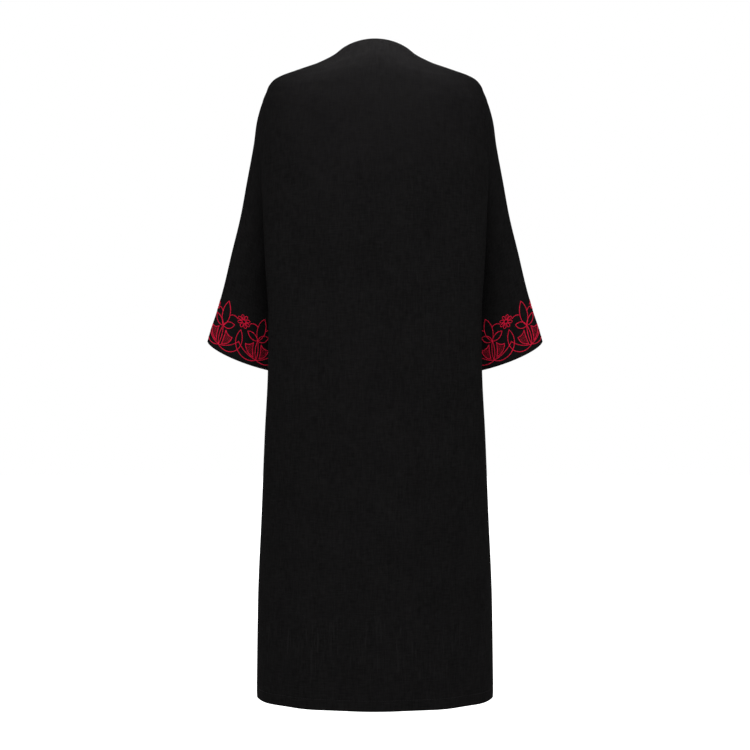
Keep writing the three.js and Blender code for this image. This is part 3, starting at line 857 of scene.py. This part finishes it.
def sew(name, routes, thread, sizes, slant=0.0):
    """Stitches along the routes as one plain mesh."""
    piece = route_object(name, routes)
    tree = bpy.data.node_groups.get("Stitches along routes") or stitches_along_routes()
    modifier = piece.modifiers.new("Stitches", "NODES")
    modifier.node_group = tree
    values = {"Slant": slant, "Thread": bpy.data.materials[thread], **dict(zip(STITCH_COLUMNS, sizes))}
    for item in tree.interface.items_tree:
        if item.in_out == "INPUT" and item.name in values:
            modifier[item.identifier] = values[item.name]
    graph = bpy.context.evaluated_depsgraph_get()
    made = bpy.data.meshes.new_from_object(piece.evaluated_get(graph), depsgraph=graph)
    piece.modifiers.remove(modifier)
    piece.data = made
    made.name = name
    return piece


# ---- Embroidery ----


def heading(lean):
    """The direction that leans by an angle from upright."""
    return np.array((math.sin(lean), math.cos(lean)))


def bowed(start, end, bow):
    """Points along a part of a circle that bends to the left of its way by a share of its length."""
    start, end = np.array(start), np.array(end)
    along = (end - start) / 2
    left = np.array((-along[1], along[0]))
    half_turn = 2 * math.atan(2 * bow)
    length = 2 * half_turn * np.linalg.norm(along) / math.sin(half_turn)
    turns = np.linspace(-half_turn, half_turn, int(length / ROUTE_STEP) + 2)
    forwards = np.sin(turns) / math.sin(half_turn)
    sideways = (np.cos(turns) - math.cos(half_turn)) / math.sin(half_turn)
    return (start + end) / 2 + np.outer(forwards, along) + np.outer(sideways, left)


def pointed_leaf(root, length, lean, bow):
    """The left and the right side of a leaf."""
    tip = root + length * heading(lean)
    return bowed(root, tip, bow), bowed(root, tip, -bow)


def shield_outline():
    """A closed shield that widens from its root to two shoulders, with a hollow top between them."""
    root = np.array(SHIELD_ROOT)
    outer = root + SHIELD_LENGTH * heading(SHIELD_LEAN + SHIELD_SPREAD / 2)
    inner = root + SHIELD_LENGTH * heading(SHIELD_LEAN - SHIELD_SPREAD / 2)
    sides = (
        bowed(root, outer, -SHIELD_OUTER_BOW),
        bowed(outer, inner, SHIELD_TOP_BOW),
        bowed(inner, root, SHIELD_INNER_BOW),
    )
    return np.concatenate([side[:-1] for side in sides])


def flower_petals(centre):
    """The outline of each petal, evenly round the flower's centre."""
    petals = []
    for petal in range(PETALS):
        angle = 2 * math.pi * (petal + 0.5) / PETALS
        outwards = heading(angle)
        across = np.array((-outwards[1], outwards[0])) * PETAL_WIDTH / 2
        near, far = outwards * PETAL_START, outwards * PETAL_END
        middle = outwards * ((1.0 - PETAL_WIDEST) * PETAL_START + PETAL_WIDEST * PETAL_END)
        loop = np.array((near, middle + across, far, middle - across)) * (FLOWER_STRETCH, 1.0)
        petals.append(drawn_curve(loop + centre, is_closed=True, step=PETAL_STEP))
    return petals


def plant_lines(is_leaning):
    """Every line of one plant, the outlines that are filled, and the petals of its flower."""
    foot = np.array((0.0, FOOT_HEIGHT))
    root = np.array((0.0, FOOT_HEIGHT + STEM_LENGTH))
    leans = (TALL_LEAF_LEAN, 0.0) if is_leaning else (0.0, TALL_LEAF_LEAN)
    tall, next_tall = (pointed_leaf(root, TALL_LEAF_LENGTH, lean, TALL_LEAF_BOW) for lean in leans)
    flower = np.array((FLOWER_PLACE * REPEAT, FLOWER_HEIGHT))
    reach = np.array((PETAL_END * FLOWER_STRETCH, 0.0))
    next_side = next_tall[0] + (REPEAT, 0.0)
    lines = [
        *tall,
        bowed(tall[1][len(tall[1]) // 2], flower - reach, TENDRIL_BOW),
        bowed(flower + reach, next_side[len(next_side) // 2], TENDRIL_BOW),
    ]
    half = [
        bowed(foot, root, -STEM_BOW),
        *pointed_leaf(root, SIDE_LEAF_LENGTH, SIDE_LEAF_LEAN, SIDE_LEAF_BOW),
        bowed(foot, (REPEAT / 2, BOAT_KEEL_HEIGHT), -BOAT_KEEL_BOW),
        bowed(foot, (REPEAT / 2, BOAT_RIM_HEIGHT), -BOAT_RIM_BOW),
    ]
    fills = []
    for side in (1.0, -1.0):
        lines += [line * (side, 1.0) for line in half]
        fills.append(shield_outline() * (side, 1.0))
    return lines, fills, flower_petals(flower)


def hatch_lines(outline):
    """Parallel lines that fill a closed outline."""
    cosine, sine = math.cos(HATCH_ANGLE), math.sin(HATCH_ANGLE)
    turn = np.array(((cosine, -sine), (sine, cosine)))
    turned = outline @ turn
    following = np.roll(turned, -1, axis=0)
    lines = []
    for height in np.arange(turned[:, 1].min() + HATCH_STEP * FIRST_HATCH, turned[:, 1].max(), HATCH_STEP):
        crosses = (turned[:, 1] - height) * (following[:, 1] - height) < 0.0
        share = (height - turned[crosses, 1]) / (following[crosses, 1] - turned[crosses, 1])
        xs = np.sort(turned[crosses, 0] + share * (following[crosses, 0] - turned[crosses, 0]))
        for left, right in zip(xs[::2], xs[1::2]):
            if right - left > 3 * HATCH_INSET:
                ends = np.array(((left + HATCH_INSET, height), (right - HATCH_INSET, height)))
                lines.append(drawn_curve(ends @ turn.T))
    return lines


def on_cuff(panel, line, is_closed):
    """A drawn line laid on the sleeve: along the cuff from its outer fold, and up from its edge."""
    outer, normal, height = map(closed_round, (panel.outer, panel.normal, panel.from_hem))
    round_cuff = way_round(panel.outer[-1])
    columns = np.interp(line[:, 0] % round_cuff[-1], round_cuff, np.arange(len(round_cuff)))
    points, normals = [], []
    for column, up in zip(columns, line[:, 1]):
        left = min(int(column), outer.shape[1] - 2)
        share = column - left
        heights, place, facing = (
            (grid[:, left] * (1.0 - share) + grid[:, left + 1] * share)[::-1]
            for grid in (height, outer, normal)
        )
        points.append([np.interp(up, heights, place[:, axis]) for axis in range(3)])
        normals.append([np.interp(up, heights, facing[:, axis]) for axis in range(3)])
    return np.array(points), np.array(normals), is_closed


def cuff_routes(panel, repeats):
    """The outlines, the fills and the petals of all the plants round one cuff."""
    fitted = way_round(panel.outer[-1])[-1] / repeats
    outlines, fills, flowers = [], [], []
    for plant in range(repeats):
        lines, filled, petals = plant_lines(is_leaning=plant % 2 == 1)
        hatching = [line for outline in filled for line in hatch_lines(outline)]
        start = FIRST_PLANT + plant * fitted
        for drawn, is_closed, kept in (
            (lines, False, outlines),
            (filled, True, outlines),
            (hatching, False, fills),
            (petals, True, flowers),
        ):
            laid = [line * (fitted / REPEAT, 1.0) + (start, 0.0) for line in drawn]
            kept.extend(on_cuff(panel, line, is_closed) for line in laid)
    return outlines, fills, flowers


# ---- Materials ----


def slubbed_weave_group():
    """Shader group: threads over and under, with the thicker places of an uneven yarn."""
    inputs = {
        "Cloth Place": "NodeSocketVector",
        "Thread Spacing": 0.0006,
        "Slub Length": 0.017,
        "Slub Width": 0.0019,
    }
    tree, given = new_group("Slubbed weave", "ShaderNodeTree", inputs, TONE_AND_HEIGHT)
    place = add_node(tree, "ShaderNodeSeparateXYZ", {"Vector": out(given, "Cloth Place")})
    across, down = out(place, "X"), out(place, "Y")
    density = maths(tree, "DIVIDE", math.pi, out(given, "Thread Spacing"))
    warp = maths(tree, "SINE", maths(tree, "MULTIPLY", across, density), 0.0)
    weft = maths(tree, "SINE", maths(tree, "MULTIPLY", down, density), 0.0)
    over_under = maths(tree, "MULTIPLY", warp, weft)
    length, width = out(given, "Slub Length"), out(given, "Slub Width")
    slubs = []
    for along, beside, seed in zip((across, down), (down, across), SLUB_SEEDS):
        slubs.append(noise(tree, stretched(tree, along, length, beside, width, seed), 1.0, 3.0, 0.6))
    slub = weighed(tree, slubs[0], 0.5, slubs[1])
    thread = maths(tree, "MULTIPLY", maths(tree, "ADD", over_under, 1.0), 0.5)
    tone, height = weighed(tree, slub, 0.85, thread), weighed(tree, slub, 0.6, thread)
    add_node(tree, "NodeGroupOutput", {"Tone": tone, "Height": height})
    return tree


def soft_mottle_group():
    """Shader group: broad, faint unevenness of a dye or of handled cloth."""
    inputs = {"Patch Size": 0.05, "Seed": 0.0}
    tree, given = new_group("Soft mottle", "ShaderNodeTree", inputs, {"Mottle": "NodeSocketFloat"})
    place = add_node(tree, "ShaderNodeTexCoord")
    moved = {0: out(place, "Object"), 1: out(given, "Seed")}
    shifted = add_node(tree, "ShaderNodeVectorMath", moved, operation="ADD")
    scale = maths(tree, "DIVIDE", 1.0, out(given, "Patch Size"))
    add_node(tree, "NodeGroupOutput", {"Mottle": noise(tree, out(shifted), scale, 2.0, 0.5)})
    return tree


def painted_crease_highlights_group():
    """Shader group: painted highlights of creases, as short paler streaks along the warp in a band a little
    above the hem.
    """
    inputs = {
        "Cloth Place": "NodeSocketVector",
        "Streak Length": 0.045,
        "Streak Width": 0.0035,
        "Band Height": 0.11,
        "Band Depth": 0.06,
        "Strength": 0.5,
    }
    tree, given = new_group("Painted crease highlights", "ShaderNodeTree", inputs, {"Streaks": "NodeSocketFloat"})
    place = add_node(tree, "ShaderNodeSeparateXYZ", {"Vector": out(given, "Cloth Place")})
    across, up = out(place, "X"), out(place, "Y")
    width, length = out(given, "Streak Width"), out(given, "Streak Length")
    grain = noise(tree, stretched(tree, across, width, up, length, STREAK_SEED), 1.0, 1.0, 0.5)
    least, most = STREAK_TONES
    streak = add_node(tree, "ShaderNodeMapRange", {"Value": grain, "From Min": least, "From Max": most})
    away = maths(tree, "ABSOLUTE", maths(tree, "SUBTRACT", up, out(given, "Band Height")), 0.0)
    near = {"Value": away, "From Min": out(given, "Band Depth"), "From Max": 0.01}
    band = add_node(tree, "ShaderNodeMapRange", near)
    shown = maths(tree, "MULTIPLY", out(streak), out(band))
    add_node(tree, "NodeGroupOutput", {"Streaks": maths(tree, "MULTIPLY", shown, out(given, "Strength"))})
    return tree


def twisted_thread_group():
    """Shader group: the fine fibres and twist of a sewing or embroidery thread."""
    inputs = {"Fibre Size": 0.00025}
    tree, given = new_group("Twisted thread", "ShaderNodeTree", inputs, TONE_AND_HEIGHT)
    place = out(add_node(tree, "ShaderNodeTexCoord"), "Object")
    scale = maths(tree, "DIVIDE", 1.0, out(given, "Fibre Size"))
    fibres = noise(tree, place, scale, 2.0, 0.6)
    strands = noise(tree, place, maths(tree, "DIVIDE", scale, FIBRES_TO_A_STRAND), 1.0, 0.5)
    add_node(tree, "NodeGroupOutput", {"Tone": weighed(tree, strands, 0.65, fibres), "Height": fibres})
    return tree


def tinted(tree, dark, light, tone, low, high):
    """A colour between two as the tone goes from low to high."""
    ramp = add_node(tree, "ShaderNodeMapRange", {"Value": tone, "From Min": low, "From Max": high})
    mix = tree.nodes.new("ShaderNodeMix")
    mix.data_type = "RGBA"
    colour_a, colour_b = (s for s in mix.inputs if s.type == "RGBA")
    colour_a.default_value = (*dark, 1.0)
    colour_b.default_value = (*light, 1.0)
    tree.links.new(out(ramp), mix.inputs[0])
    return next(s for s in mix.outputs if s.type == "RGBA")


def new_material(name, constants):
    """A material with one Principled shader whose plain values are set on its own sockets."""
    material = bpy.data.materials.new(name)
    material.use_nodes = True
    tree = material.node_tree
    tree.nodes.clear()
    shader = add_node(tree, "ShaderNodeBsdfPrincipled", constants)
    add_node(tree, "ShaderNodeOutputMaterial", {"Surface": out(shader)})
    return material, tree, shader


def finish_material(tree, shader, colour, strength, distance, height):
    """Gives a shader its patterned colour and its relief."""
    bump = add_node(tree, "ShaderNodeBump", {"Strength": strength, "Distance": distance, "Height": height})
    tree.links.new(colour, shader.inputs["Base Color"])
    tree.links.new(out(bump), shader.inputs["Normal"])


def black_cloth_material(looks):
    values = {"Roughness": 0.82, "Specular IOR Level": looks.cloth_gloss}
    _, tree, shader = new_material("slubbed black cloth", values)
    cloth = out(add_node(tree, "ShaderNodeUVMap", uv_map="cloth"))
    weave = place_group(tree, "Slubbed weave", {"Cloth Place": cloth})
    mottle = place_group(tree, "Soft mottle", {"Patch Size": 0.06, "Seed": 4.0})
    # The paler streaks a little above the hem are painted highlights of the fine creases there.
    streaks = place_group(tree, "Painted crease highlights", {"Cloth Place": cloth})
    tone = maths(tree, "ADD", weighed(tree, out(weave, "Tone"), 0.9, out(mottle)), out(streaks))
    base = np.array(looks.cloth_colour)
    colour = tinted(tree, base * 0.55, base * 1.45, tone, 0.37, 0.63)
    finish_material(tree, shader, colour, 0.55, 0.0004, out(weave, "Height"))


def thread_material(name, colour, gloss):
    _, tree, shader = new_material(name, {"Roughness": 0.6, "Specular IOR Level": gloss})
    thread = place_group(tree, "Twisted thread", {})
    base = np.array(colour)
    tint = tinted(tree, base * 0.7, base * 1.25, out(thread, "Tone"), 0.34, 0.66)
    finish_material(tree, shader, tint, 0.4, 0.0001, out(thread, "Height"))


# ---- What a user may change ----


def length_setting(name, description, default):
    return bpy.props.FloatProperty(name=name, description=description, default=default, unit="LENGTH")


def colour_setting(name, description, default):
    return bpy.props.FloatVectorProperty(name=name, description=description, default=default, subtype="COLOR")


def share_setting(name, description, default):
    return bpy.props.FloatProperty(name=name, description=description, default=default, subtype="FACTOR")


def power_setting(name, description, default):
    return bpy.props.FloatProperty(name=name, description=description, default=default, unit="POWER")


class CoatSewing(bpy.types.PropertyGroup):
    """Sizes of the cloth and its sewing."""

    cloth_thickness: length_setting("Cloth", "Thickness of one layer of cloth", 0.0009)
    hem_turn: length_setting("Hem", "Depth of the turned-up hem and cuffs", 0.020)
    stitch_pitch: length_setting("Stitch pitch", "From one machine stitch to the next", 0.0030)
    stitch_length: length_setting("Stitch length", "Length of one machine stitch", 0.0025)


class CoatEmbroidery(bpy.types.PropertyGroup):
    """Sizes of the embroidery on the cuffs."""

    repeats: bpy.props.IntProperty(
        name="Plants", description="Plants round one cuff, an even number", default=6
    )
    line_pitch: length_setting("Line pitch", "From one satin stitch to the next", 0.0011)
    stitch_length: length_setting("Satin stitch", "Length of one satin stitch", 0.0021)
    slant: bpy.props.FloatProperty(
        name="Slant",
        description="Turn of a satin stitch from its line",
        default=math.radians(58),
        unit="ROTATION",
    )


class CoatLooks(bpy.types.PropertyGroup):
    """Colours and finish of the cloth and the threads."""

    cloth_colour: colour_setting("Cloth", "Colour of the cloth", (0.0056, 0.0054, 0.0055))
    cloth_gloss: share_setting("Gloss", "Specular level of the cloth", 0.005)
    red_thread: colour_setting("Red thread", "Colour of the embroidery", (0.52, 0.0055, 0.034))
    black_thread: colour_setting("Black thread", "Colour of the sewing", (0.010, 0.009, 0.010))


class CoatStudio(bpy.types.PropertyGroup):
    """The floor, the camera and the lights."""

    floor_drop: length_setting("Floor", "Height of the hem above the floor", 0.22)
    camera_distance: length_setting("Camera", "From the camera to the shoulders' plane", 2.695)
    lens: bpy.props.FloatProperty(name="Lens", description="Focal length in millimetres", default=70.0)
    neck_power: power_setting("Neck light", "Power of the small lamp above the nape", 0.5)
    fill_power: power_setting("Fill light", "Power of the large light above the camera", 70.0)
    surround: share_setting("Surround", "Light that comes from all round", 0.78)


# ---- Operators ----


class COAT_OT_set_studio(bpy.types.Operator):
    """Set the plain floor, the lights and the camera"""

    bl_idname = "coat.set_studio"
    bl_label = "Set the studio"

    def execute(self, context):
        studio = context.scene.coat_studio
        lowest, highest = (np.array(corner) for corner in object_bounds())
        middle_z = (lowest[2] + highest[2]) / 2 - CAMERA_DROP
        camera_data = bpy.data.cameras.new("camera")
        camera_data.lens = studio.lens
        camera_data.sensor_width = 36.0
        camera = new_object("camera", camera_data)
        camera.location = (0.0, studio.camera_distance, middle_z)
        camera.rotation_euler = (math.pi / 2, 0.0, math.pi)
        context.scene.camera = camera
        self.lay_floor(lowest[2] - studio.floor_drop)
        self.hang_light("neck light", *NECK_LIGHT, studio.neck_power)
        self.hang_light("fill light", *FILL_LIGHT, studio.fill_power)
        self.light_surround(studio.surround)
        context.scene.view_settings.view_transform = "Standard"
        return {"FINISHED"}

    def lay_floor(self, height):
        mesh = bpy.data.meshes.new("floor")
        corners = [
            (side * FLOOR_SIDES, end, height)
            for side, end in ((-1, FLOOR_FAR), (1, FLOOR_FAR), (1, FLOOR_NEAR), (-1, FLOOR_NEAR))
        ]
        mesh.from_pydata(corners, [], [(0, 1, 2, 3)])
        floor = new_object("floor", mesh)
        values = {
            "Base Color": (0.8, 0.8, 0.8, 1.0),
            "Roughness": 0.9,
            "Specular IOR Level": 0.0,
            "Emission Color": (1.0, 1.0, 1.0, 1.0),
        }
        material, tree, shader = new_material("pale floor", values)
        tree.links.new(self.seen_level(tree, 0.0), shader.inputs["Emission Strength"])
        mesh.materials.append(material)
        floor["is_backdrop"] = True

    def seen_level(self, tree, shed):
        """The backdrop's strength: full white where it is seen, and another for the light that it sheds."""
        seen = out(add_node(tree, "ShaderNodeLightPath"), "Is Camera Ray")
        return maths(tree, "ADD", maths(tree, "MULTIPLY", seen, 1.0 - shed), shed)

    def hang_light(self, name, place, aim, size, spread, power):
        data = bpy.data.lights.new(name, "AREA")
        data.shape = "RECTANGLE"
        data.size, data.size_y = size
        data.energy = power
        data.spread = math.radians(spread)
        light = new_object(name, data)
        light.location = place
        direction = np.array(aim) - np.array(place)
        sideways = math.atan2(direction[0], direction[1])
        upwards = math.atan2(direction[2], math.hypot(direction[0], direction[1]))
        light.rotation_euler = (math.pi / 2 + upwards, 0.0, -sideways)

    def light_surround(self, strength):
        world = bpy.data.worlds.new("studio")
        world.use_nodes = True
        tree = world.node_tree
        tree.nodes.clear()
        level = self.seen_level(tree, strength)
        shader = add_node(tree, "ShaderNodeBackground", {"Color": (1.0, 1.0, 1.0, 1.0), "Strength": level})
        add_node(tree, "ShaderNodeOutputWorld", {"Surface": out(shader)})
        bpy.context.scene.world = world


class COAT_OT_mix_materials(bpy.types.Operator):
    """Mix the cloth and the threads"""

    bl_idname = "coat.mix_materials"
    bl_label = "Mix the materials"

    def execute(self, context):
        looks = context.scene.coat_looks
        slubbed_weave_group()
        soft_mottle_group()
        painted_crease_highlights_group()
        twisted_thread_group()
        black_cloth_material(looks)
        thread_material("red embroidery thread", looks.red_thread, THREAD_GLOSS["red"])
        thread_material("black sewing thread", looks.black_thread, THREAD_GLOSS["black"])
        return {"FINISHED"}


def declare_cloth(piece, nodes):
    """Hangs a piece of cloth from the root body and hides the solids that it stands for."""
    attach(piece, "root")
    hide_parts(*nodes)


def declare_thread(piece):
    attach(piece, "root")
    return piece


def machine_stitches(name, routes, sewing, seed):
    """A row of plain black stitches along each route."""
    sizes = (sewing.stitch_pitch, sewing.stitch_length, *SEWING_THREAD, seed)
    piece = sew(name, routes, "black sewing thread", sizes)
    return declare_thread(piece)


class COAT_OT_make_back(bpy.types.Operator):
    """Make the back, with its neck edge and hem stitched"""

    bl_idname = "coat.make_back"
    bl_label = "Make the back"

    def execute(self, context):
        sewing = context.scene.coat_sewing
        panel = back_panel(sewing)
        piece = cloth_piece("cloth_back", panel)
        routes = [
            (*line_on_panel(panel, panel.from_hem, HEM_STITCH, True), False),
            (*line_on_panel(panel, panel.from_top, EDGE_STITCH, True), False),
        ]
        stitches = machine_stitches("stitches_back", routes, sewing, BACK_SEED)
        declare_cloth(piece, ("back_upper", "back_lower"))
        return {"FINISHED"}


class COAT_OT_make_fronts(bpy.types.Operator):
    """Make the two fronts, with their edges and hems stitched"""

    bl_idname = "coat.make_fronts"
    bl_label = "Make the fronts"

    def execute(self, context):
        sewing = context.scene.coat_sewing
        for side, sign in (("left", 1.0), ("right", -1.0)):
            panel = front_panel(sewing, sign)
            piece = cloth_piece(f"cloth_front_{side}", panel)
            is_wide = panel.uv[:, 0, 0] > 3 * EDGE_STITCH
            edge, edge_normal = line_on_panel(panel, panel.from_end, EDGE_STITCH, False)
            routes = [
                (*line_on_panel(panel, panel.from_hem, HEM_STITCH, True), False),
                (edge[is_wide], edge_normal[is_wide], False),
            ]
            stitches = machine_stitches(f"stitches_front_{side}", routes, sewing, FRONT_SEED)
            declare_cloth(piece, (f"front_{side}_upper", f"front_{side}_lower"))
        return {"FINISHED"}


class COAT_OT_make_sleeves(bpy.types.Operator):
    """Make the two flared sleeves and embroider their cuffs"""

    bl_idname = "coat.make_sleeves"
    bl_label = "Make the sleeves"

    def execute(self, context):
        sewing = context.scene.coat_sewing
        embroidery = context.scene.coat_embroidery
        for side, sign in (("left", 1.0), ("right", -1.0)):
            panel = sleeve_panel(sewing, sign)
            piece = cloth_piece(f"cloth_sleeve_{side}", panel)
            outlines, fills, flowers = cuff_routes(panel, embroidery.repeats)
            satin = (embroidery.line_pitch, embroidery.stitch_length, *SATIN_THREAD)
            slant = embroidery.slant * sign
            threads = [
                sew(f"embroidery_{kind}_{side}", routes, "red embroidery thread", sizes, turn)
                for kind, routes, sizes, turn in (
                    ("lines", outlines, satin, slant),
                    ("fills", fills, FILL_STITCHES, 0.0),
                    ("flowers", flowers, PETAL_STITCHES, slant),
                )
            ]
            for thread in threads:
                declare_thread(thread)
            declare_cloth(piece, (f"sleeve_{side}",))
        return {"FINISHED"}


class COAT_PT_sizes(bpy.types.Panel):
    """Sizes and colours of the coat, and the steps that make it"""

    bl_label = "Coat"
    bl_idname = "COAT_PT_sizes"
    bl_space_type = "VIEW_3D"
    bl_region_type = "UI"
    bl_category = "Coat"

    def draw(self, context):
        for label, group in SETTINGS.items():
            box = self.layout.box()
            values = getattr(context.scene, label)
            for name in group.__annotations__:
                box.prop(values, name)
        for step in STEPS:
            self.layout.operator(step.bl_idname)


SETTINGS = {
    "coat_sewing": CoatSewing,
    "coat_embroidery": CoatEmbroidery,
    "coat_looks": CoatLooks,
    "coat_studio": CoatStudio,
}
STEPS = (
    COAT_OT_set_studio,
    COAT_OT_mix_materials,
    COAT_OT_make_back,
    COAT_OT_make_fronts,
    COAT_OT_make_sleeves,
)


def register():
    for cls in (*SETTINGS.values(), *STEPS, COAT_PT_sizes):
        bpy.utils.register_class(cls)
    for label, group in SETTINGS.items():
        setattr(bpy.types.Scene, label, bpy.props.PointerProperty(type=group))


def unregister():
    for label in SETTINGS:
        delattr(bpy.types.Scene, label)
    for cls in (COAT_PT_sizes, *reversed(STEPS), *reversed(SETTINGS.values())):
        bpy.utils.unregister_class(cls)


def main():
    register()
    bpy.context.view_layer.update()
    for step in STEPS:
        group, name = step.bl_idname.split(".")
        getattr(getattr(bpy.ops, group), name)()


if __name__ == "__main__":
    main()
